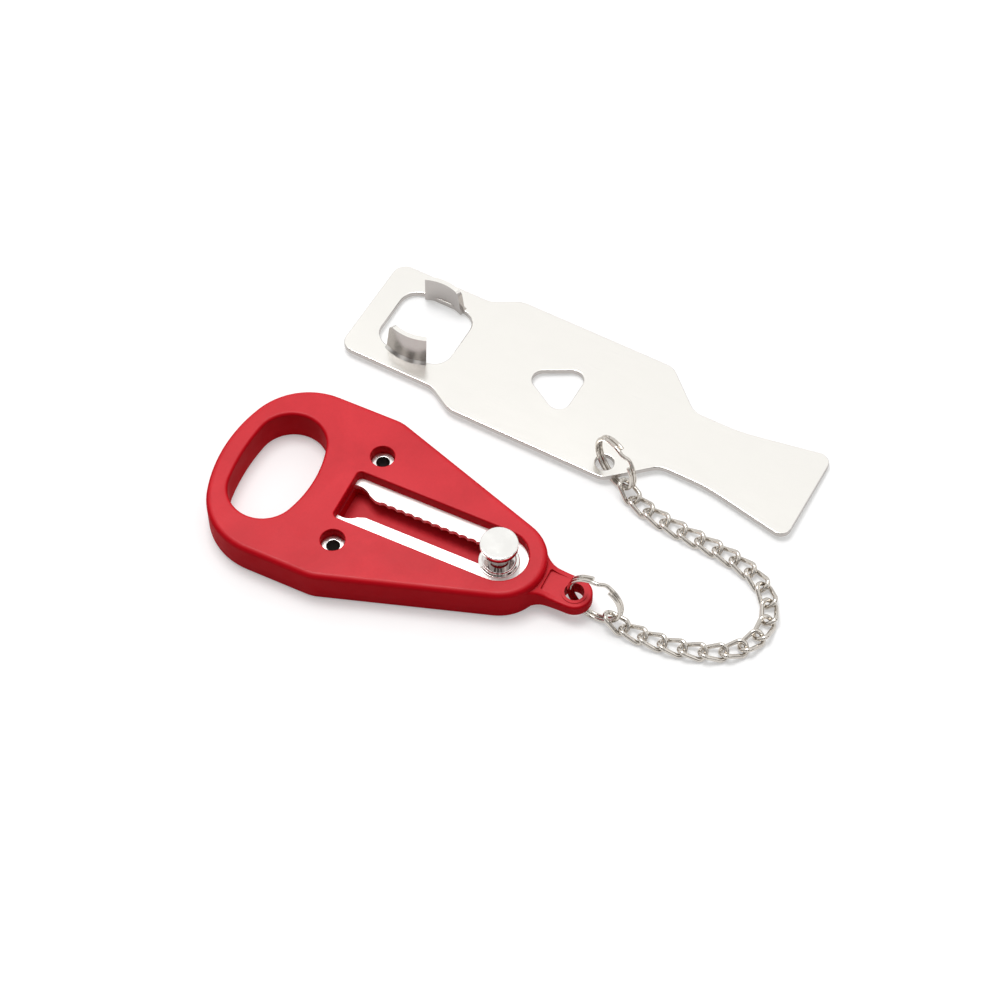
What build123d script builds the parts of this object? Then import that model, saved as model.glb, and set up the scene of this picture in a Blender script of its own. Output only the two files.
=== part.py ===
from build123d import *
import os
from math import asin, cos, degrees, radians, sin, sqrt, tan

# Portable door lock: a red two-shell handle with a sliding stud on a toothed steel
# plate, a split ring, twenty twisted chain links, a second split ring and a steel
# strike plate with two claws.
# Millimetres, +Z up. The origin is on the table, straight under the stud at the
# rounded end of its slot. +X runs along the handle to its ring, +Y to the strike plate.

os.makedirs("parts", exist_ok=True)

# Handle body
handle_thickness = 13.5
handle_width = 70.6
loop_end_x = -105.7
loop_end_radius = 55.0
loop_corner_radius = 25.0
shoulder_x = -53.9
shoulder_radius = 14.0
nose_radius = 16.6
parting_share = 0.463
top_edge_radius = 2.0
bottom_edge_radius = 1.2
shell_wall = 2.4

# Finger hole: two arcs with rounded tips
loop_band = 7.5
finger_hole_length = 27.4
finger_arc_radius = 74.0
palm_arc_radius = 43.6
finger_tip_radius = 12.5
finger_edge_radius = 1.2

# Slot in the front shell
slot_run = 58.3
slot_width = 20.4
slot_corner_radius = 1.8
slot_edge_radius = 0.6

# Toothed plate inside the handle
rack_thickness = 1.8
rack_drop = 4.4
rack_half_width = 25.0
rack_left_x = -66.5
rack_shoulder_x = -45.0
rack_lap = 1.4
rack_corner_radius = 3.0
rack_fit = 0.2
groove_width = 7.8
keyhole_radius = 7.0
keyhole_x = -56.5
funnel_end_x = -49.0
tooth_pitch = 3.4
tooth_gap = 3.0
tooth_depth = 0.5
tooth_start_x = -5.0
tooth_count = 13

# Hollow rivets that clamp the toothed plate
rivet_x = -53.6
rivet_y = 18.9
rivet_head_diameter = 8.2
rivet_head_height = 0.6
rivet_diameter = 5.6
rivet_bore = 4.6
rivet_seat = 1.9
rivet_edge_radius = 0.2
eyelet_clearance = 0.15
eyelet_edge_radius = 0.4

# Channel under the toothed plate
channel_width = 16.0
channel_floor = 2.1

# Stud with its collar, spring washer and clip
stud_head_diameter = 13.2
stud_head_thickness = 2.2
stud_head_edge = 0.5
stud_top = 20.8
stud_diameter = 7.5
neck_top_diameter = 8.4
neck_foot_diameter = 6.8
neck_foot_height = 0.8
stud_tail = 1.0
stud_chamfer = 0.5
collar_diameter = 14.2
collar_step_width = 1.35
collar_height = 0.8
collar_step_height = 0.7
collar_edge_radius = 0.3
running_gap = 0.05
slot_end_gap = 0.4
washer_diameter = 12.4
washer_height = 0.9
washer_thickness = 0.3
washer_play = 0.1
clip_diameter = 13.0
clip_thickness = 0.9
clip_groove_diameter = 5.8
clip_mouth = 4.8
clip_notch_diameter = 2.2
clip_notch_angle = 120.0

# Lug for the split ring
lug_thickness = 5.2
lug_width = 12.6
lug_hole_x = 28.1
lug_hole_diameter = 6.8
lug_edge_radius = 0.9
lug_rim_width = 1.1
lug_rim_height = 0.3
flare_fillet_radius = 8.0
ramp_root_x = 12.5
ramp_end_x = 26.0
ramp_height = 2.9
lug_recess_x = 17.4
lug_recess_radius = 0.8
lug_rib_width = 1.9

# Split rings
ring_diameter = 21.0
ring_wire = 1.45
ring_layer_gap = 0.06
ring_end_gap = 0.5
ring_crossing = 26.0
ring_link_angle = 52.0
ring_link_slack = 1.3
handle_ring_yaw = -5.0
handle_ring_tilt = 4.0
handle_ring_crossing = 80.0
plate_ring_yaw = -29.0
plate_ring_tilt = 2.0
plate_ring_crossing = 60.0

# Chain: each link's heading in the photographed lie, from the handle to the plate
link_headings = [
    -7, -2, 3, 8, 15, 25, 41, 63, 86, 110, 131, 150, 163, 170, 173, 174, 172, 167, 160, 149,
]
link_pitch = 7.0
link_width = 6.3
link_wire = 1.65
link_twist = 38.0
link_slack = 0.45
link_corner_radius = 2.2

# Strike plate, measured from its claw end
plate_thickness = 1.8
plate_length = 176.3
plate_yaw = -3.15
plate_lift = 2.15
plate_edge_radius = 0.4
claw_end_width = 44.5
claw_end_radius = 5.0
step_start_x = 38.0
step_end_x = 48.0
step_radius = 9.0
plate_width = 56.2
waist_start_x = 109.5
waist_corner_radius = 6.0
waist_end_x = 124.8
waist_radius = 8.0
waist_width = 27.4
flare_x = 143.0
flare_radius = 60.0
tail_width = 40.4
tail_radius = 4.0
claw_hole_x = 23.3
claw_hole_length = 28.5
claw_hole_width = 27.4
claw_hole_radius = 7.0
triangle_tip_x = 63.2
triangle_base_x = 84.6
triangle_height = 24.6
triangle_radius = 4.2
ring_hole_x = 107.3
ring_hole_margin = 6.4
ring_hole_diameter = 6.6
claw_length = 16.2
claw_height = 12.9
claw_radius = 19.0
claw_reach = 16.0
claw_lean = 7.0
claw_bend_radius = 1.0
claw_corner_radius = 2.4

# Heights inside the handle
parting_z = handle_thickness * parting_share
rack_top_z = handle_thickness - rack_drop
rack_bottom_z = rack_top_z - rack_thickness
washer_top_z = rack_bottom_z - running_gap
clip_top_z = washer_top_z - washer_height
clip_bottom_z = clip_top_z - clip_thickness
stud_bottom_z = clip_bottom_z - stud_tail
collar_bottom_z = rack_top_z + running_gap
collar_step_z = collar_bottom_z + collar_height
collar_top_z = collar_step_z + collar_step_height
lug_rise = lug_thickness / 2
lug_half_height = lug_rise + lug_rim_height
rivet_bottom_z = rivet_seat - rivet_head_height
stud_travel = slot_run - collar_diameter / 2 - slot_end_gap
ring_hole_y = ring_hole_margin - plate_width / 2


def finish(builder, name):
    builder.part.label = name
    export_step(builder.part, f"parts/{name}.step")


def heading(angle):
    return Vector(cos(radians(angle)), sin(radians(angle)), 0)


# An upright sketch plane along the handle: local x is +X and local y is +Z
def upright_plane(*origin):
    return Plane(origin=origin, x_dir=(1, 0, 0), z_dir=(0, -1, 0))


# Outlines that both shells share
def body_outline():
    half_width = handle_width / 2
    corner_x = loop_end_x + loop_end_radius - sqrt(loop_end_radius**2 - half_width**2)
    with BuildSketch() as outline:
        with BuildLine():
            side = Polyline((corner_x, half_width), (shoulder_x, half_width), (shoulder_x, 0))
            mirror(side, about=Plane.XZ)
            ThreePointArc((corner_x, half_width), (loop_end_x, 0), (corner_x, -half_width))
        make_face()
        Circle(nose_radius)
        make_hull()
        fillet(outline.vertices().group_by(Axis.X)[1], shoulder_radius)
        fillet(outline.vertices().group_by(Axis.X)[0], loop_corner_radius)
    return outline.sketch


# The lug's outline flares out into the body's round nose
def lug_outline():
    with BuildSketch() as outline:
        Circle(nose_radius)
        with Locations((lug_hole_x / 2, 0)):
            Rectangle(lug_hole_x, lug_width)
        fillet(outline.vertices().group_by(Axis.X)[0], flare_fillet_radius)
        with Locations((lug_hole_x, 0)):
            Circle(lug_width / 2)
    return outline.sketch


def finger_hole_outline():
    left_x = loop_end_x + loop_band
    right_x = left_x + finger_hole_length
    with BuildSketch() as outline:
        with Locations((left_x + finger_arc_radius, 0)):
            Circle(finger_arc_radius)
        with Locations((right_x - palm_arc_radius, 0)):
            Circle(palm_arc_radius, mode=Mode.INTERSECT)
        fillet(outline.vertices(), finger_tip_radius)
    return outline.sketch


def slot_outline(width, corner_radius):
    with BuildSketch() as outline:
        Circle(width / 2)
        with Locations((-slot_run / 2, 0)):
            Rectangle(slot_run, width)
        fillet(outline.vertices().group_by(Axis.X)[0], corner_radius)
    return outline.sketch


def rack_outline(margin):
    end_radius = slot_width / 2 + rack_lap + margin
    shoulder_length = rack_shoulder_x - rack_left_x + 2 * margin
    with BuildSketch() as outline:
        with Locations(((rack_left_x + rack_shoulder_x) / 2, 0)):
            Rectangle(shoulder_length, 2 * (rack_half_width + margin))
        Circle(end_radius)
        make_hull()
        fillet(outline.vertices().group_by(Axis.X)[0], rack_corner_radius + margin)
    return outline.sketch


# The loop's hollow: a channel between the outer wall and the finger hole's wall
def hollow_outline():
    with BuildSketch() as outline:
        add(body_outline())
        offset(amount=-shell_wall)
        add(offset(finger_hole_outline(), amount=shell_wall, mode=Mode.PRIVATE), mode=Mode.SUBTRACT)
        add(rack_outline(rack_fit + shell_wall), mode=Mode.SUBTRACT)
        with Locations((nose_radius, 0)):
            Rectangle(2 * (nose_radius - rack_shoulder_x), handle_width, mode=Mode.SUBTRACT)
    return outline.sketch


# Half of the lug: flat round the hole, with a curved ramp up to the body
def lug_half(side):
    tip_x = lug_hole_x + lug_width
    with BuildPart() as lug:
        with BuildSketch(Plane.XY.offset(parting_z)):
            add(lug_outline())
        extrude(amount=side * (lug_rise + ramp_height))
        with BuildSketch(upright_plane(0, 0, parting_z)):
            with BuildLine():
                root = (ramp_root_x, side * (lug_rise + ramp_height))
                foot = (ramp_end_x, side * lug_rise)
                TangentArc(foot, root, tangent=(-1, 0))
                Polyline(root, (ramp_root_x, 0), (tip_x, 0), (tip_x, side * lug_rise), foot)
            make_face()
        extrude(amount=nose_radius, both=True, mode=Mode.INTERSECT)
        crest = lug.edges().filter_by(
            lambda edge: min(abs(corner.Z - parting_z) for corner in edge.vertices()) > lug_rise / 2
        )
        fillet(crest.filter_by(Axis.Y, reverse=True), lug_edge_radius)
    return lug.part


# The recess leaves a rib along each flare and ends in the flat round the hole
def lug_recess(side):
    with BuildPart() as recess:
        with BuildSketch(Plane.XY.offset(parting_z + side * lug_rise)) as outline:
            add(offset(lug_outline(), amount=-lug_rib_width, mode=Mode.PRIVATE))
            with Locations((lug_recess_x - nose_radius, 0)):
                Rectangle(2 * nose_radius, 2 * nose_radius, mode=Mode.SUBTRACT)
            fillet(outline.vertices().group_by(Axis.X)[0], lug_recess_radius)
        extrude(amount=side * ramp_height)
    return recess.part


def lug_rim(side):
    with BuildPart() as rim:
        with BuildSketch(Plane.XY.offset(parting_z)):
            with Locations((lug_hole_x, 0)):
                Circle(lug_hole_diameter / 2 + lug_rim_width)
        extrude(amount=side * lug_half_height)
    return rim.part


# Front shell: everything above the parting line
with BuildPart() as front_shell:
    with BuildSketch(Plane.XY.offset(parting_z)):
        add(body_outline())
    extrude(amount=handle_thickness - parting_z)
    fillet(front_shell.faces().sort_by(Axis.Z)[-1].edges(), top_edge_radius)
    with BuildSketch(Plane.XY.offset(parting_z)):
        add(finger_hole_outline())
    extrude(amount=handle_thickness - parting_z, mode=Mode.SUBTRACT)
    hole_edges = front_shell.faces().sort_by(Axis.Z)[-1].inner_wires()[0].edges()
    fillet(hole_edges, finger_edge_radius)
    with BuildSketch(Plane.XY.offset(parting_z)):
        add(slot_outline(slot_width, slot_corner_radius))
    extrude(amount=handle_thickness - parting_z, mode=Mode.SUBTRACT)
    slot_edges = front_shell.faces().sort_by(Axis.Z)[-1].inner_wires().sort_by(Axis.X)[-1].edges()
    fillet(slot_edges, slot_edge_radius)
    with BuildSketch(Plane.XY.offset(parting_z)):
        add(rack_outline(rack_fit))
    extrude(amount=rack_top_z - parting_z, mode=Mode.SUBTRACT)
    with BuildSketch(Plane.XY.offset(parting_z)):
        with Locations((rivet_x, rivet_y), (rivet_x, -rivet_y)):
            Circle(rivet_head_diameter / 2 + eyelet_clearance)
    extrude(amount=handle_thickness - parting_z, mode=Mode.SUBTRACT)
    with BuildSketch(Plane.XY.offset(parting_z)):
        add(hollow_outline())
    extrude(amount=handle_thickness - parting_z - shell_wall, mode=Mode.SUBTRACT)
    add(lug_half(1))
    add(lug_recess(1), mode=Mode.SUBTRACT)
    add(lug_rim(1))
    with Locations((lug_hole_x, 0, parting_z)):
        Hole(lug_hole_diameter / 2)
    top_arcs = front_shell.edges().filter_by(GeomType.CIRCLE).group_by(Axis.Z)[-1]
    fillet(top_arcs.filter_by(lambda edge: edge.is_closed), eyelet_edge_radius)
finish(front_shell, "front_shell")


# Back shell: everything below the parting line, with a raised land under the rack plate
with BuildPart() as back_shell:
    with BuildSketch():
        add(body_outline())
    extrude(amount=parting_z)
    fillet(back_shell.faces().sort_by(Axis.Z)[0].edges(), bottom_edge_radius)
    with BuildSketch():
        add(finger_hole_outline())
    extrude(amount=parting_z, mode=Mode.SUBTRACT)
    fillet(back_shell.faces().sort_by(Axis.Z)[0].inner_wires()[0].edges(), bottom_edge_radius)
    with BuildSketch(Plane.XY.offset(parting_z)):
        add(hollow_outline())
    extrude(amount=shell_wall - parting_z, mode=Mode.SUBTRACT)
    with BuildSketch(Plane.XY.offset(parting_z)):
        add(rack_outline(-rack_fit))
    extrude(amount=rack_bottom_z - parting_z)
    with BuildSketch(Plane.XY.offset(channel_floor)):
        add(slot_outline(channel_width, slot_corner_radius))
    extrude(amount=rack_bottom_z - channel_floor, mode=Mode.SUBTRACT)
    with Locations((rivet_x, rivet_y, rack_bottom_z), (rivet_x, -rivet_y, rack_bottom_z)):
        Hole(rivet_diameter / 2)
    with BuildSketch(Plane.XY):
        with Locations((rivet_x, rivet_y), (rivet_x, -rivet_y)):
            Circle(rivet_head_diameter / 2 + eyelet_clearance)
    extrude(amount=rivet_seat, mode=Mode.SUBTRACT)
    add(lug_half(-1))
    add(lug_recess(-1), mode=Mode.SUBTRACT)
    add(lug_rim(-1))
    with Locations((lug_hole_x, 0, parting_z)):
        Hole(lug_hole_diameter / 2)
finish(back_shell, "back_shell")


# Rack plate: keyhole slot with a toothed far edge
with BuildPart() as rack_plate:
    with BuildSketch(Plane.XY.offset(rack_bottom_z)):
        add(rack_outline(0))
        Circle(groove_width / 2, mode=Mode.SUBTRACT)
        with Locations((keyhole_x / 2, 0)):
            Rectangle(-keyhole_x, groove_width, mode=Mode.SUBTRACT)
        with Locations((keyhole_x, 0)):
            Circle(keyhole_radius, mode=Mode.SUBTRACT)
        Polygon(
            (keyhole_x, keyhole_radius),
            (keyhole_x, -keyhole_radius),
            (funnel_end_x, -groove_width / 2),
            (funnel_end_x, groove_width / 2),
            align=None,
            mode=Mode.SUBTRACT,
        )
        scallop_radius = ((tooth_gap / 2) ** 2 + tooth_depth**2) / (2 * tooth_depth)
        scallop_y = groove_width / 2 + tooth_depth - scallop_radius
        for tooth in range(tooth_count):
            with Locations((tooth_start_x - tooth * tooth_pitch, scallop_y)):
                Circle(scallop_radius, mode=Mode.SUBTRACT)
        with Locations((rivet_x, rivet_y), (rivet_x, -rivet_y)):
            Circle(rivet_diameter / 2, mode=Mode.SUBTRACT)
    extrude(amount=rack_thickness)
finish(rack_plate, "rack_plate")


# Rivets: a hollow shank with a head on the plate and one rolled over below
with BuildPart() as rivets:
    rivet_top_z = rack_top_z + rivet_head_height
    for rivet_side in (-1, 1):
        with BuildSketch(upright_plane(rivet_x, rivet_side * rivet_y, 0)):
            with BuildLine():
                Polyline(
                    (rivet_bore / 2, rivet_bottom_z),
                    (rivet_head_diameter / 2, rivet_bottom_z),
                    (rivet_head_diameter / 2, rivet_seat),
                    (rivet_diameter / 2, rivet_seat),
                    (rivet_diameter / 2, rack_top_z),
                    (rivet_head_diameter / 2, rack_top_z),
                    (rivet_head_diameter / 2, rivet_top_z),
                    (rivet_bore / 2, rivet_top_z),
                    close=True,
                )
            make_face()
        revolve(axis=Axis((rivet_x, rivet_side * rivet_y, 0), (0, 0, 1)))
    fillet(rivets.edges().filter_by(GeomType.CIRCLE).group_by(Axis.Z)[-1], rivet_edge_radius)
finish(rivets, "rivets")


# Stud: mushroom head, tapered neck, shank and the clip's groove
with BuildPart() as stud:
    head_bottom_z = stud_top - stud_head_thickness
    neck_foot_z = collar_top_z + neck_foot_height
    with BuildSketch(Plane.XZ):
        with BuildLine():
            Polyline(
                (0, stud_bottom_z),
                (clip_groove_diameter / 2, stud_bottom_z),
                (stud_diameter / 2, stud_bottom_z + stud_chamfer),
                (stud_diameter / 2, clip_bottom_z),
                (clip_groove_diameter / 2, clip_bottom_z),
                (clip_groove_diameter / 2, clip_top_z),
                (stud_diameter / 2, clip_top_z),
                (stud_diameter / 2, collar_top_z),
                (neck_foot_diameter / 2, neck_foot_z),
                (neck_top_diameter / 2, head_bottom_z),
                (stud_head_diameter / 2, head_bottom_z),
                (stud_head_diameter / 2, stud_top),
                (0, stud_top),
                close=True,
            )
        make_face()
    revolve(axis=Axis.Z)
    fillet(stud.faces().sort_by(Axis.Z)[-1].edges(), stud_head_edge)
finish(stud, "stud")


# Collar: two steps round the stud's foot, on the rack plate
with BuildPart() as stud_collar:
    with BuildSketch(Plane.XY.offset(collar_bottom_z)):
        Circle(collar_diameter / 2)
    extrude(amount=collar_height)
    with BuildSketch(Plane.XY.offset(collar_step_z)):
        Circle(collar_diameter / 2 - collar_step_width)
    extrude(amount=collar_step_height)
    fillet(stud_collar.faces().filter_by(Plane.XY).sort_by(Axis.Z)[1:].edges(), collar_edge_radius)
    with Locations((0, 0, collar_top_z)):
        Hole(stud_diameter / 2)
finish(stud_collar, "stud_collar")


# Spring washer: a bent ring between the rack plate and the clip
with BuildPart() as spring_washer:
    washer_radius = washer_diameter / 2
    with BuildSketch(Plane.XZ):
        with BuildLine():
            ThreePointArc(
                (-washer_radius, clip_top_z + washer_thickness),
                (0, washer_top_z),
                (washer_radius, clip_top_z + washer_thickness),
            )
            Line((washer_radius, clip_top_z + washer_thickness), (washer_radius, clip_top_z))
            ThreePointArc(
                (washer_radius, clip_top_z),
                (0, washer_top_z - washer_thickness),
                (-washer_radius, clip_top_z),
            )
            Line((-washer_radius, clip_top_z), (-washer_radius, clip_top_z + washer_thickness))
        make_face()
    extrude(amount=washer_radius, both=True)
    with BuildSketch(Plane.XY.offset(clip_top_z)):
        Circle(washer_radius)
        Circle(stud_diameter / 2 + washer_play, mode=Mode.SUBTRACT)
    extrude(amount=washer_height, mode=Mode.INTERSECT)
finish(spring_washer, "spring_washer")


# Retaining clip: an open ring pressed into the stud's groove from the side
with BuildPart() as retaining_clip:
    with BuildSketch(Plane.XY.offset(clip_bottom_z)):
        Circle(clip_diameter / 2)
        Circle(clip_groove_diameter / 2, mode=Mode.SUBTRACT)
        with Locations((clip_diameter / 2, 0)):
            Rectangle(clip_diameter, clip_mouth, mode=Mode.SUBTRACT)
        with PolarLocations(
            clip_groove_diameter / 2, 2, clip_notch_angle, angular_range=2 * clip_notch_angle
        ):
            Circle(clip_notch_diameter / 2, mode=Mode.SUBTRACT)
    extrude(amount=clip_thickness)
finish(retaining_clip, "retaining_clip")


# Split rings: two flat turns of one wire, with a crossing between the layers
ring_radius = (ring_diameter - ring_wire) / 2
ring_layer = (ring_wire + ring_layer_gap) / 2


def ring_axes(yaw, tilt):
    along = heading(yaw)
    across = heading(yaw).cross(Vector(0, 0, -1))
    upright = across * sin(radians(tilt)) + Vector(0, 0, cos(radians(tilt)))
    return along, upright


def ring_height(tilt):
    lean = radians(abs(tilt))
    return ring_radius * cos(lean) + ring_layer * sin(lean) + ring_wire / 2


def split_ring(name, centre, axes, crossing_angle):
    along, upright = axes
    normal = along.cross(upright)
    half_crossing = ring_crossing / 2
    end_gap = degrees((ring_wire / 2 + ring_end_gap) / ring_radius)

    def point(angle, layer):
        reach = along * cos(radians(angle)) + upright * sin(radians(angle))
        return centre + reach * ring_radius + normal * layer

    def direction(angle):
        return upright * cos(radians(angle)) - along * sin(radians(angle))

    start = crossing_angle + half_crossing + end_gap
    leave = crossing_angle + 360 - half_crossing
    land = crossing_angle + half_crossing
    stop = crossing_angle + 360 - half_crossing - end_gap
    foot, foot_direction = point(leave, -ring_layer), direction(leave)
    head, head_direction = point(land, ring_layer), direction(land)

    # The crossing is two tangent arcs, so their four tangent lengths are alike
    gap = head - foot
    both = foot_direction + head_direction
    a = both.dot(both) - 4
    b = -2 * gap.dot(both)
    c = gap.dot(gap)
    tangent = (-b - sqrt(b * b - 4 * a * c)) / (2 * a)
    first_control = foot + foot_direction * tangent
    second_control = head - head_direction * tangent
    middle = (first_control + second_control) / 2

    with BuildPart() as ring:
        with BuildLine() as coil:
            ThreePointArc(
                point(start, -ring_layer), point((start + leave) / 2, -ring_layer), foot
            )
            TangentArc(foot, middle, tangent=foot_direction)
            TangentArc(middle, head, tangent=second_control - first_control)
            ThreePointArc(head, point((land + stop) / 2, ring_layer), point(stop, ring_layer))
        with BuildSketch(Plane(origin=coil.line @ 0, z_dir=coil.line % 0)):
            Circle(ring_wire / 2)
        sweep()
    finish(ring, name)


# Link: two bent halves of one wire, welded into a rounded oblong with a twist
link_end = (link_pitch + link_wire + link_slack) / 2
link_hook = link_end - link_pitch / 2


def bent_link(lie):
    half_level = link_width / 2 * cos(radians(link_twist))
    half_rise = link_width / 2 * sin(radians(link_twist))
    with BuildPart() as link:
        for turn in (1, -1):
            bends = [
                (-link_end, 0, 0),
                (-link_end, turn * half_level, -turn * half_rise),
                (link_end, turn * half_level, turn * half_rise),
                (link_end, 0, 0),
            ]
            with BuildLine() as bent_wire:
                FilletPolyline(
                    *[lie.from_local_coords(bend) for bend in bends], radius=link_corner_radius
                )
            with BuildSketch(Plane(origin=bent_wire.line @ 0, z_dir=bent_wire.line % 0)):
                Circle(link_wire / 2)
            sweep()
    return link


# Each piece from here on hangs on the one before it: lug, ring, links, ring, plate
lug_centre = Vector(lug_hole_x, 0, parting_z)
handle_ring_axes = ring_axes(handle_ring_yaw, handle_ring_tilt)
plate_ring_axes = ring_axes(plate_ring_yaw, plate_ring_tilt)
ring_inside = ring_radius - ring_wire / 2
ring_outside = ring_radius + ring_wire / 2


# How far level from a ring's centre it passes through the middle of a drilled sheet
def ring_offset(height, sheet_bottom, sheet_top):
    inner = sqrt(ring_inside**2 - (height - sheet_bottom) ** 2)
    outer = sqrt(ring_outside**2 - (height - sheet_top) ** 2)
    return (inner + outer) / 2


handle_ring_z = ring_height(handle_ring_tilt)
lug_offset = ring_offset(
    handle_ring_z, parting_z - lug_half_height, parting_z + lug_half_height
)
handle_ring_rise = handle_ring_z - parting_z
handle_ring_centre = (
    lug_centre
    + handle_ring_axes[0] * lug_offset
    + handle_ring_axes[1] * (handle_ring_rise / cos(radians(handle_ring_tilt)))
)

# The chain's end links hook the rings low down on the inside
link_reach = ring_radius - ring_wire / 2 - link_wire / 2 - ring_link_slack


def ring_side(centre, axes, radius):
    level, upright = cos(radians(ring_link_angle)), sin(radians(ring_link_angle))
    return centre + axes[0] * (radius * level) - axes[1] * (radius * upright)


handle_ring_grip = ring_side(handle_ring_centre, handle_ring_axes, ring_radius)
link_z = bent_link(Plane.XY).part.bounding_box().max.Z


def sloping(angle, drop):
    slope = asin(drop / (link_pitch + link_hook))
    return heading(angle) * cos(slope) - Vector(0, 0, sin(slope))


first_hook = ring_side(handle_ring_centre, handle_ring_axes, link_reach)
first_direction = sloping(link_headings[0], first_hook.Z - link_z)
link_places = [(first_hook + first_direction * link_end, first_direction)]
pivots = [handle_ring_grip]
joint_point = first_hook + first_direction * (link_pitch + link_hook)
joint_point = Vector(joint_point.X, joint_point.Y, link_z)
for angle in link_headings[1:-1]:
    pivots.append(joint_point)
    link_places.append((joint_point + heading(angle) * (link_pitch / 2), heading(angle)))
    joint_point = joint_point + heading(angle) * link_pitch
pivots.append(joint_point)

plate_ring_z = ring_height(plate_ring_tilt)
last_hook_z = ring_side(Vector(0, 0, plate_ring_z), plate_ring_axes, link_reach).Z
last_direction = sloping(link_headings[-1], link_z - last_hook_z)
last_hook = joint_point + last_direction * (link_pitch + link_hook)
link_places.append((last_hook - last_direction * link_end, last_direction))
plate_ring_centre = last_hook - ring_side(Vector(0, 0, 0), plate_ring_axes, link_reach)
pivots.append(ring_side(plate_ring_centre, plate_ring_axes, ring_radius))

split_ring("split_ring_handle", handle_ring_centre, handle_ring_axes, handle_ring_crossing)
split_ring("split_ring_plate", plate_ring_centre, plate_ring_axes, plate_ring_crossing)


for number, (centre, direction) in enumerate(link_places, start=1):
    side = Vector(0, 0, 1).cross(direction).normalized()
    link = bent_link(Plane(origin=centre, x_dir=direction, z_dir=direction.cross(side)))
    finish(link, f"link_{number:02d}")


# Strike plate: its far long edge lies on the table, its near edge rides on the ring
hole_offset = ring_offset(plate_ring_z, plate_lift, plate_lift + plate_thickness)
hole_mid_z = plate_lift + plate_thickness / 2
hole_drop = (plate_ring_z - hole_mid_z) / cos(radians(plate_ring_tilt))
ring_hole_centre = (
    plate_ring_centre - plate_ring_axes[0] * hole_offset - plate_ring_axes[1] * hole_drop
)
plate_tilt = asin(plate_lift / (plate_width / 2 - ring_hole_y))
plate_along = heading(plate_yaw)
plate_across = heading(plate_yaw + 90) * cos(plate_tilt) - Vector(0, 0, sin(plate_tilt))
plate_normal = plate_along.cross(plate_across)
plate_origin = (
    Vector(ring_hole_centre.X, ring_hole_centre.Y, 0)
    - plate_along * ring_hole_x
    - plate_across * ring_hole_y
)
plate_origin = Vector(plate_origin.X, plate_origin.Y, plate_width / 2 * sin(plate_tilt))
plate_plane = Plane(origin=plate_origin, x_dir=plate_along, z_dir=plate_normal)
plate_up = Axis(plate_origin, plate_normal)

with BuildPart() as strike_plate:
    with BuildSketch(plate_plane):
        with BuildLine():
            edge = FilletPolyline(
                (0, 0),
                (0, claw_end_width / 2),
                (step_start_x, claw_end_width / 2),
                (step_end_x, plate_width / 2),
                (waist_start_x, plate_width / 2),
                (waist_end_x, waist_width / 2),
                (flare_x, waist_width / 2),
                (plate_length, tail_width / 2),
                (plate_length, 0),
                radius=[
                    claw_end_radius,
                    step_radius,
                    step_radius,
                    waist_corner_radius,
                    waist_radius,
                    flare_radius,
                    tail_radius,
                ],
            )
            mirror(edge, about=Plane.XZ)
        make_face()
        with Locations((claw_hole_x, 0)):
            RectangleRounded(
                claw_hole_length, claw_hole_width, claw_hole_radius, mode=Mode.SUBTRACT
            )
        with Locations((ring_hole_x, ring_hole_y)):
            Circle(ring_hole_diameter / 2, mode=Mode.SUBTRACT)
        with BuildLine():
            FilletPolyline(
                (triangle_tip_x, 0),
                (triangle_base_x, triangle_height / 2),
                (triangle_base_x, -triangle_height / 2),
                radius=triangle_radius,
                close=True,
            )
        make_face(mode=Mode.SUBTRACT)
    extrude(amount=plate_thickness)
    fillet(strike_plate.faces().sort_by(plate_up)[-1].edges(), plate_edge_radius)

    # Two claws, curved in plan and leaning in, with the sheet's bend at the foot
    claw_half_angle = degrees(asin(claw_length / 2 / claw_radius))
    claw_lean_in = (claw_height - plate_thickness) * tan(radians(claw_lean))
    for side in (1, -1):
        axis_point = plate_plane.from_local_coords((claw_hole_x, side * (claw_reach - claw_radius), 0))
        start = heading(plate_yaw + side * 90 + claw_half_angle)
        start = plate_along * (start.dot(plate_along)) + plate_across * (
            start.dot(heading(plate_yaw + 90))
        )
        profile_plane = Plane(origin=axis_point, x_dir=start, z_dir=start.cross(plate_normal))
        with BuildSketch(profile_plane):
            with BuildLine():
                Polyline(
                    (claw_radius - plate_thickness, 0),
                    (claw_radius + claw_bend_radius, 0),
                    (claw_radius + claw_bend_radius, plate_thickness),
                    (claw_radius, plate_thickness + claw_bend_radius),
                    (claw_radius - claw_lean_in, claw_height),
                    (claw_radius - claw_lean_in - plate_thickness, claw_height),
                    (claw_radius - plate_thickness, plate_thickness),
                    close=True,
                )
            make_face()
        revolve(axis=Axis(axis_point, -plate_normal), revolution_arc=2 * claw_half_angle)
    claw_tops = strike_plate.faces().sort_by(plate_up)[-2:].edges().filter_by(GeomType.LINE)
    near_corners = claw_tops.sort_by(Axis.Y)[:2].sort_by(Axis.X)
    far_corners = claw_tops.sort_by(Axis.Y)[2:].sort_by(Axis.X)
    fillet([near_corners[0], far_corners[1]], claw_corner_radius)
finish(strike_plate, "strike_plate")

print("lug hole", lug_centre)
print("link pivots", [(round(p.X, 3), round(p.Y, 3), round(p.Z, 3)) for p in pivots])
print("ring hole", ring_hole_centre, "plate ring centre", plate_ring_centre)
print("stud travel", round(stud_travel, 3))
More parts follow.
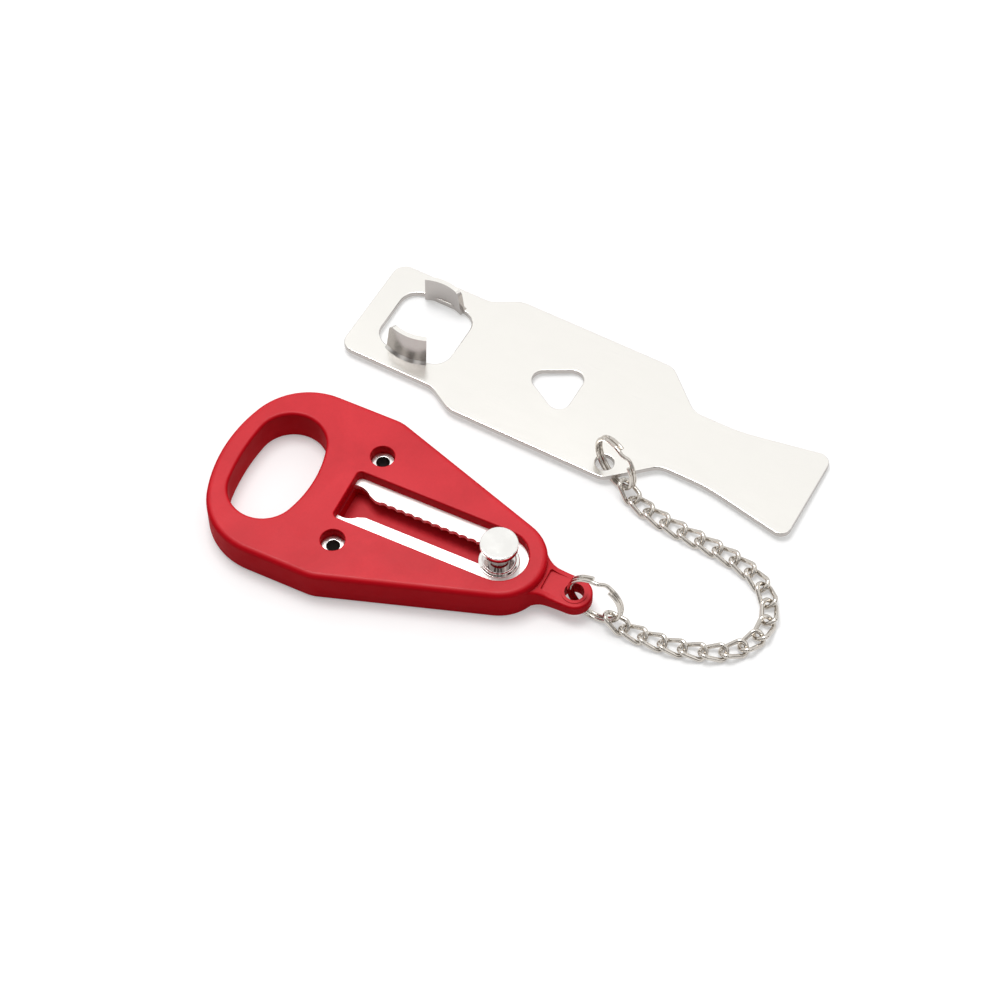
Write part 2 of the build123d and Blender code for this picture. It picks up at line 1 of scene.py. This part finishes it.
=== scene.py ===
import bpy
import math
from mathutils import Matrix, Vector


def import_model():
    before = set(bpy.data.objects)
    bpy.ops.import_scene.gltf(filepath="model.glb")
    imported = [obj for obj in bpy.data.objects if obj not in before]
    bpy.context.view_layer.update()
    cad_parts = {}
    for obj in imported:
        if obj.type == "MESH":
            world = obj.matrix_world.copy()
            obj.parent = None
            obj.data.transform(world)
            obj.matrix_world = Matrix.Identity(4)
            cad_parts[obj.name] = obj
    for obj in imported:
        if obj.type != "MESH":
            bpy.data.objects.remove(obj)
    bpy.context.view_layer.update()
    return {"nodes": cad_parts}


# Portable door lock: finishes, floor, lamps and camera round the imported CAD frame.
# Lengths are in metres, angles in degrees, and colours are linear.
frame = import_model()
nodes = frame["nodes"]
MM = 0.001

# Where the hollow rivets stand in the handle, and how softly the painted shade in their bores
# ends
rivet_x, rivet_y = -53.6 * MM, 18.9 * MM
rivet_bore_radius = 2.32 * MM
rivet_bore_blend = 0.1 * MM

# Heights between which the stud's neck carries a painted dark reflection, and how softly it ends
# there
stud_neck_low, stud_neck_high = 10.6 * MM, 19.2 * MM
stud_neck_low_blend, stud_neck_high_blend = 0.2 * MM, 0.3 * MM


def srgb(red, green, blue):
    """Linear colour from 8-bit sRGB values."""
    parts = []
    for value in (red, green, blue):
        share = value / 255
        parts.append(share / 12.92 if share <= 0.04045 else ((share + 0.055) / 1.055) ** 2.4)
    return tuple(parts)


def grey(level):
    return (level, level, level)


# Red plastic: the flow marks' colours by noise level, lightened as painted sheen, then the
# sides' deeper red, which is painted shade, and the specks
red_flow_and_sheen = [(0.30, srgb(192, 28, 39)), (0.55, srgb(202, 33, 44)), (0.75, srgb(209, 39, 49))]
red_side_painted_shade = srgb(186, 8, 24)
red_speck, red_speck_strength = srgb(160, 16, 26), 0.10
red_face_roughness, red_side_roughness = (0.34, 0.46), 0.22
red_face_gloss, red_side_gloss = 0.24, 0.05
red_peel_strength, red_peel_depth = 0.10, 0.12 * MM
red_scuff_strength, red_scuff_depth = 0.06, 0.10 * MM
red_scuff_squeeze, red_scuff_turn = (1.0, 9.0, 3.0), (0, 0, 0.5)
red_glow_share, red_glow_depth = 0.04, (4 * MM, 0.4 * MM, 0.3 * MM)

# Plain steels. Sheen is the roughness of the brightest and the dullest spots, grain is
# how far the grain is squeezed along each axis, and edge is a painted shade on upright faces.
steels = {
    "plate_steel": {
        "tint": (0.91, 0.89, 0.845),
        "sheen": (0.16, 0.28),
        "grain": (0.15, 2.5, 1),
        "grain_scale": 700,
        "grain_bump": 0.05,
        "smudge_scale": 25,
        # Painted shade for the sheet's edges and upright faces
        "edge": (0.46, 0.43, 0.41),
    },
    "rack_steel": {
        "tint": (0.93, 0.92, 0.90),
        "sheen": (0.42, 0.55),
        "grain": (0.2, 2.5, 1),
        "grain_scale": 800,
        "grain_bump": 0.05,
        "smudge_scale": 60,
    },
    "chain_steel": {
        "tint": (0.62, 0.58, 0.53),
        "sheen": (0.06, 0.14),
        "grain": (1, 1, 1),
        "grain_scale": 1500,
        "grain_bump": 0.06,
        "smudge_scale": 300,
    },
    "ring_steel": {
        "tint": (0.62, 0.58, 0.53),
        "sheen": (0.06, 0.13),
        "grain": (1, 1, 1),
        "grain_scale": 1500,
        "grain_bump": 0.04,
        "smudge_scale": 200,
    },
    "spring_steel": {
        "tint": (0.42, 0.41, 0.40),
        "sheen": (0.25, 0.40),
        "grain": (1, 1, 1),
        "grain_scale": 1200,
        "grain_bump": 0.08,
        "smudge_scale": 200,
    },
}
steel_shade, steel_shade_strength = 0.86, 0.35
steel_streaks = (0.62, 0.8)
steel_smudge_dullness, steel_streak_dullness = 0.6, 0.4
steel_grain_depth = 0.08 * MM

# Turned stud and collar
stud_tint = (0.88, 0.87, 0.84)
# The neck's colour is a painted dark reflection of its surroundings
stud_neck_painted_reflection = (0.34, 0.29, 0.28)
stud_shade, stud_shade_strength = 0.88, 0.4
stud_sheen = (0.07, 0.16)
stud_mark_scale, stud_mark_strength, stud_mark_depth = 900, 0.04, 0.03 * MM

# Rivets: bright rolled edges and painted shade in the bore
rivet_tint = (0.90, 0.89, 0.87)
rivet_dull_tint, rivet_dull_strength = (0.66, 0.65, 0.62), 0.3
# The bore's dark colours are painted shade
rivet_bore_shade = [(0.3, srgb(20, 4, 3)), (0.8, srgb(62, 34, 28))]
rivet_sheen = (0.12, 0.24)
rivet_bore_shade_metallic, rivet_bore_shade_dullness = 0.2, 0.45
rivet_bump_strength, rivet_bump_depth = 0.05, 0.05 * MM

# Ranges that the finishes stretch: all of a value, and where most of a noise lies
full = (0.0, 1.0)
noise_middle = (0.3, 0.7)
noise_upper = (0.35, 0.7)

# The photograph's view: how far down it looks, how far the handle is turned in it, and
# where round the table the camera stands
camera_elevation, camera_turn = 57.0, 25.4
camera_azimuth = camera_turn - 90
camera_distance = 0.9677
camera_target = Vector((-12.9 * MM, 27.9 * MM, 0))
camera_lens_mm, camera_sensor_mm = 100, 36
camera_clip_start = 0.01

# Lamps, all aimed at one point: place, width and height, and power in watts
lamp_target = Vector((0, 0.03, 0))
lamps = {
    "key": (Vector((-0.25, 0.18, 1.15)), (0.45, 0.45), 7.0),
    "fill": (Vector((0.9, -0.1, 0.9)), (0.5, 0.5), 0.8),
}

# The studio's light by how near a direction is to the overhead panel's: 1 is the panel
panel_direction = Vector((-0.28, 0.59, 0.76)).normalized()
studio_levels = [(0.0, 0.03), (0.45, 0.06), (0.62, 0.20), (0.78, 0.75), (0.90, 1.0), (1.0, 1.05)]

# Floor paper: half its side, how far it lies under the part, and its faint mottling
floor_reach = 6.0
floor_drop = 0.2 * MM
floor_paper = [(0.3, grey(0.69)), (0.7, grey(0.71))]

# Extra brightness that only views of the floor get, so that the lit paper is white:
# near the object and, where the lamps reach less, far from it
floor_lift = (0.32, 0.85)
floor_lift_from = (0.35, 2.2)

# Black cards round the table: gap as a share of a card, lower and upper edges by elevation
card_count, card_gap, card_distance = 12, 0.2, 2.0
card_foot, card_low_top, card_high_top = 1, 8, 70
card_black = (0.02, 0.018, 0.017)
card_glow, card_glow_tint = 0.09, (1.0, 0.93, 0.88)


class Nodes:
    """Short calls that add nodes to one tree and return their output sockets."""

    def __init__(self, tree):
        self.tree = tree

    def feed(self, value, target):
        """Links a socket to the target, or sets a number, a vector or a colour on it."""
        if isinstance(value, bpy.types.NodeSocket):
            self.tree.links.new(value, target)
        else:
            target.default_value = (*value, 1.0) if target.type == "RGBA" else value

    def add(self, kind, inputs=None, output=0, **settings):
        made = self.tree.nodes.new(kind)
        for name, value in settings.items():
            setattr(made, name, value)
        for name, value in (inputs or {}).items():
            self.feed(value, made.inputs[name])
        return None if output is None else made.outputs[output]

    def ramp(self, value, stops):
        ramp = self.add("ShaderNodeValToRGB", {"Fac": value}, "Color")
        elements = ramp.node.color_ramp.elements
        while len(elements) < len(stops):
            elements.new(0.5)
        for element, (position, colour) in zip(elements, stops):
            element.position = position
            element.color = (*colour, 1.0)
        return ramp

    def levels(self, value, source, target):
        """Stretches a value's source range to the target range, clamped at both ends."""
        ends = zip(("From Min", "From Max", "To Min", "To Max"), (*source, *target))
        return self.add("ShaderNodeMapRange", {"Value": value, **dict(ends)}, "Result")

    def math(self, operation, *values):
        return self.add("ShaderNodeMath", dict(enumerate(values)), "Value", operation=operation)

    def seen(self):
        """1 for the camera and for reflected or refracted views of the studio, else 0."""
        camera, glossy, transmission = (
            self.add("ShaderNodeLightPath", output=f"Is {ray} Ray")
            for ray in ("Camera", "Glossy", "Transmission")
        )
        return self.math("MAXIMUM", self.math("MAXIMUM", glossy, transmission), camera)


class Shader(Nodes):
    """The nodes that feed one material's Principled BSDF."""

    # Sockets of the colour form of the mix node
    mix_factor, mix_first, mix_second, mix_result = 0, 6, 7, 2

    def __init__(self, name):
        self.material = bpy.data.materials.new(name)
        self.material.use_nodes = True
        super().__init__(self.material.node_tree)
        self.bsdf = self.tree.nodes["Principled BSDF"]

    def set(self, **values):
        """Links or sets inputs of the BSDF and returns the material."""
        for name, value in values.items():
            self.feed(value, self.bsdf.inputs[name.replace("_", " ")])
        return self.material

    def place(self):
        return self.add("ShaderNodeTexCoord", output="Object")

    def axis(self, name):
        return self.add("ShaderNodeSeparateXYZ", {"Vector": self.place()}, name)

    def scaled(self, scale, rotation=(0, 0, 0)):
        inputs = {"Vector": self.place(), "Scale": scale, "Rotation": rotation}
        return self.add("ShaderNodeMapping", inputs, "Vector")

    def noise(self, scale, detail=2.0, roughness=0.5, distortion=0.0, vector=None):
        inputs = {"Scale": scale, "Detail": detail, "Roughness": roughness}
        inputs.update({"Distortion": distortion, "Vector": vector or self.place()})
        return self.add("ShaderNodeTexNoise", inputs, "Fac")

    def mix(self, factor, first, second):
        inputs = {self.mix_factor: factor, self.mix_first: first, self.mix_second: second}
        return self.add("ShaderNodeMix", inputs, self.mix_result, data_type="RGBA")

    def level_faces(self, upright, level):
        """1 on faces that lie level in the piece's own space, 0 on upright ones."""
        normal = self.add("ShaderNodeTexCoord", output="Normal")
        slope = self.add("ShaderNodeSeparateXYZ", {"Vector": normal}, "Z")
        return self.levels(self.math("ABSOLUTE", slope), (upright, level), full)

    def bump(self, height, strength, distance, under=None):
        inputs = {"Height": height, "Strength": strength, "Distance": distance}
        if under is not None:
            inputs["Normal"] = under
        return self.add("ShaderNodeBump", inputs, "Normal")


def red_plastic():
    """Moulded plastic: satin face painted lighter as sheen, matt sides painted deeper as shade,
    flow marks, orange peel, scuffs.
    """
    look = Shader("red_plastic")
    face = look.level_faces(upright=0.75, level=0.99)
    flow = look.noise(scale=45, detail=3, roughness=0.55, distortion=0.6)
    speck = look.noise(scale=900, detail=2, roughness=0.6)
    haze = look.noise(scale=120, detail=4, roughness=0.6, distortion=0.4)
    peel = look.noise(scale=1500, detail=2, roughness=0.5)
    squeezed = look.scaled(red_scuff_squeeze, red_scuff_turn)
    scuffs = look.noise(scale=60, detail=5, roughness=0.7, vector=squeezed)

    # The level faces get the lighter red as painted sheen, the upright sides the deeper red as
    # painted shade
    colour = look.mix(face, red_side_painted_shade, look.ramp(flow, red_flow_and_sheen))
    specks = look.levels(speck, noise_upper, (0.0, red_speck_strength))
    face_roughness = look.levels(haze, noise_middle, red_face_roughness)
    side_roughness = look.levels(face, full, (red_side_roughness, 0.0))
    scuff_lines = look.levels(scuffs, (0.55, 0.75), full)
    peel_normal = look.bump(peel, red_peel_strength, red_peel_depth)
    return look.set(
        Base_Color=look.mix(specks, colour, red_speck),
        Roughness=look.math("ADD", face_roughness, side_roughness),
        Specular_IOR_Level=look.levels(face, full, (red_side_gloss, red_face_gloss)),
        Normal=look.bump(scuff_lines, red_scuff_strength, red_scuff_depth, peel_normal),
        IOR=1.5,
        Subsurface_Weight=red_glow_share,
        Subsurface_Radius=red_glow_depth,
        Subsurface_Scale=0.5,
    )


def metal(name, tint, sheen, grain, grain_scale, grain_bump, smudge_scale, edge=None):
    """Plated or polished steel: directional grain, soft smudges and an uneven sheen.

    With an edge tint, edges and upright faces get a painted shade, darker than the flat sheet.
    """
    look = Shader(name)
    cloud = look.noise(scale=smudge_scale, detail=4, roughness=0.6, distortion=0.3)
    streak = look.noise(scale=grain_scale, detail=3, roughness=0.6, vector=look.scaled(grain))
    dark = tuple(part * steel_shade for part in tint)
    shading = (0.0, steel_shade_strength)
    colour = look.mix(look.levels(cloud, noise_middle, shading), tint, dark)
    colour = look.mix(look.levels(streak, steel_streaks, shading), colour, dark)
    if edge:
        # Upright faces get the edge tint as painted shade
        colour = look.mix(look.level_faces(upright=0.55, level=0.97), edge, colour)
    dullness = look.math(
        "ADD",
        look.levels(cloud, noise_middle, (0.0, steel_smudge_dullness)),
        look.levels(streak, noise_middle, (0.0, steel_streak_dullness)),
    )
    return look.set(
        Base_Color=colour,
        Roughness=look.levels(dullness, full, sheen),
        Normal=look.bump(streak, grain_bump, steel_grain_depth),
        Metallic=1.0,
    )


def turned_metal():
    """Turned steel: tool marks round the stud's axis, a polished head and a painted dark
    reflection on the neck.
    """
    look = Shader("stud_steel")
    marks = {"Scale": stud_mark_scale, "Vector": look.place()}
    ripple = look.add("ShaderNodeTexWave", marks, "Fac", wave_type="RINGS", rings_direction="Z")
    cloud = look.noise(scale=220, detail=3, roughness=0.6)
    dark = tuple(part * stud_shade for part in stud_tint)
    shading = look.levels(cloud, noise_upper, (0.0, stud_shade_strength))
    colour = look.mix(shading, stud_tint, dark)
    height = look.axis("Z")
    neck_start = (stud_neck_low, stud_neck_low + stud_neck_low_blend)
    neck_end = (stud_neck_high, stud_neck_high + stud_neck_high_blend)
    above_collar = look.levels(height, neck_start, (0.0, 1.0))
    under_head = look.levels(height, neck_end, (1.0, 0.0))
    # Between the collar and the head the colour is a painted dark reflection
    neck_reflection = look.math("MULTIPLY", above_collar, under_head)
    return look.set(
        Base_Color=look.mix(neck_reflection, colour, stud_neck_painted_reflection),
        Roughness=look.levels(cloud, noise_middle, stud_sheen),
        Normal=look.bump(ripple, stud_mark_strength, stud_mark_depth),
        Metallic=1.0,
    )


def rivet_metal():
    """Bright rolled edges round a bore painted dark, duller and less metallic as shade."""
    look = Shader("rivet_steel")
    # The two rivets mirror each other across the handle, so the size of y serves both
    across = look.math("SUBTRACT", look.math("ABSOLUTE", look.axis("Y")), rivet_y)
    along = look.math("SUBTRACT", look.axis("X"), rivet_x)
    squares = look.math("ADD", look.math("POWER", across, 2.0), look.math("POWER", along, 2.0))
    bore_end = (rivet_bore_radius, rivet_bore_radius + rivet_bore_blend)
    inside = look.levels(look.math("SQRT", squares), bore_end, (1.0, 0.0))
    # Inside the bore the colour is painted shade
    bore_shade = look.ramp(look.noise(scale=900, detail=3, roughness=0.6), rivet_bore_shade)
    cloud = look.noise(scale=300, detail=3, roughness=0.6)
    dull = look.levels(cloud, noise_upper, (0.0, rivet_dull_strength))
    bright = look.mix(dull, rivet_tint, rivet_dull_tint)
    roughness = look.math(
        "ADD",
        look.levels(cloud, noise_middle, rivet_sheen),
        look.math("MULTIPLY", inside, rivet_bore_shade_dullness),
    )
    return look.set(
        Base_Color=look.mix(inside, bright, bore_shade),
        Roughness=roughness,
        Normal=look.bump(cloud, rivet_bump_strength, rivet_bump_depth),
        Metallic=look.levels(inside, full, (1.0, rivet_bore_shade_metallic)),
    )


red = red_plastic()
steel = {name: metal(name, **values) for name, values in steels.items()}
stud_steel = turned_metal()
finish_of = {
    "front_shell": red,
    "back_shell": red,
    "rack_plate": steel["rack_steel"],
    "rivets": rivet_metal(),
    "stud": stud_steel,
    "stud_collar": stud_steel,
    "spring_washer": steel["spring_steel"],
    "retaining_clip": steel["spring_steel"],
    "split_ring_handle": steel["ring_steel"],
    "split_ring_plate": steel["ring_steel"],
    "strike_plate": steel["plate_steel"],
}
for name, node in nodes.items():
    node.data.materials.clear()
    node.data.materials.append(finish_of.get(name, steel["chain_steel"]))


def flat_sheet(name, corners, material):
    data = bpy.data.meshes.new(name)
    data.from_pydata(corners, [], [tuple(range(len(corners)))])
    data.materials.append(material)
    sheet = bpy.data.objects.new(name, data)
    bpy.context.scene.collection.objects.link(sheet)
    return sheet


def floor():
    """Paper that takes the object's shadow and is white where it is seen."""
    look = Shader("floor_paper")
    reach = look.add("ShaderNodeVectorMath", {0: look.place()}, "Value", operation="LENGTH")
    material = look.set(
        Base_Color=look.ramp(look.noise(scale=40), floor_paper),
        Roughness=0.9,
        Specular_IOR_Level=0.1,
        Emission_Color=grey(1),
        Emission_Strength=look.math(
            "MULTIPLY", look.seen(), look.levels(reach, floor_lift_from, floor_lift)
        ),
    )
    sides = [(-1, -1), (1, -1), (1, 1), (-1, 1)]
    corners = [(x * floor_reach, y * floor_reach, 0) for x, y in sides]
    plane = flat_sheet("floor", corners, material)
    plane.location.z = -floor_drop


def direction(azimuth, elevation):
    turn, lift = math.radians(azimuth), math.radians(elevation)
    level = math.cos(lift)
    return Vector((math.cos(turn) * level, math.sin(turn) * level, math.sin(lift)))


def black_cards():
    """A fence of cards that only reflections meet: it puts dark lines into the bright metal.

    The cards are tall on the camera's side and low behind the object.
    """
    look = Shader("black_card")
    material = look.set(
        Base_Color=card_black,
        Roughness=1.0,
        Specular_IOR_Level=0.0,
        Emission_Color=card_glow_tint,
        Emission_Strength=card_glow,
    )
    step = 360 / card_count
    for index in range(card_count):
        left, right = (index + card_gap) * step, (index + 1 - card_gap) * step
        facing = math.cos(math.radians((left + right) / 2 - camera_azimuth))
        top = card_low_top + (card_high_top - card_low_top) * math.sqrt(max(facing, 0))
        edges = [(left, card_foot), (right, card_foot), (right, top), (left, top)]
        corners = [direction(*edge) * card_distance for edge in edges]
        card = flat_sheet(f"black_card_{index:02d}", corners, material)
        card.visible_camera = False
        card.visible_diffuse = False
        card.visible_shadow = False
        card.visible_transmission = False


def world():
    """White wherever it is seen; as light it is bright above and behind and dim in front."""
    made = bpy.data.worlds.new("studio")
    made.use_nodes = True
    made.node_tree.nodes.clear()
    sky = Nodes(made.node_tree)
    towards = {0: sky.add("ShaderNodeTexCoord", output="Generated"), 1: panel_direction}
    facing = sky.add("ShaderNodeVectorMath", towards, "Value", operation="DOT_PRODUCT")
    stops = [(position, grey(level)) for position, level in studio_levels]
    light = sky.ramp(sky.levels(facing, (-1.0, 1.0), full), stops)
    studio = sky.add("ShaderNodeBackground", {"Color": light})
    white = sky.add("ShaderNodeBackground", {"Color": grey(1)})
    mixed = sky.add("ShaderNodeMixShader", {0: sky.seen(), 1: studio, 2: white})
    sky.add("ShaderNodeOutputWorld", {"Surface": mixed}, output=None)
    bpy.context.scene.world = made


def softbox(name, place, size, power):
    data = bpy.data.lights.new(name, "AREA")
    data.shape = "RECTANGLE"
    data.size, data.size_y = size
    data.energy = power
    lamp = bpy.data.objects.new(name, data)
    lamp.location = place
    lamp.rotation_euler = (lamp_target - place).to_track_quat("-Z", "Y").to_euler()
    bpy.context.scene.collection.objects.link(lamp)


def camera():
    data = bpy.data.cameras.new("camera")
    data.lens = camera_lens_mm
    data.sensor_width = camera_sensor_mm
    data.clip_start = camera_clip_start
    eye = bpy.data.objects.new("camera", data)
    ahead = -direction(camera_azimuth, camera_elevation)
    eye.location = camera_target - ahead * camera_distance
    eye.rotation_euler = ahead.to_track_quat("-Z", "Y").to_euler()
    bpy.context.scene.collection.objects.link(eye)
    bpy.context.scene.camera = eye


floor()
black_cards()
world()
for name, (place, size, power) in lamps.items():
    softbox(name, place, size, power)
camera()

bpy.context.scene.view_settings.view_transform = "Standard"
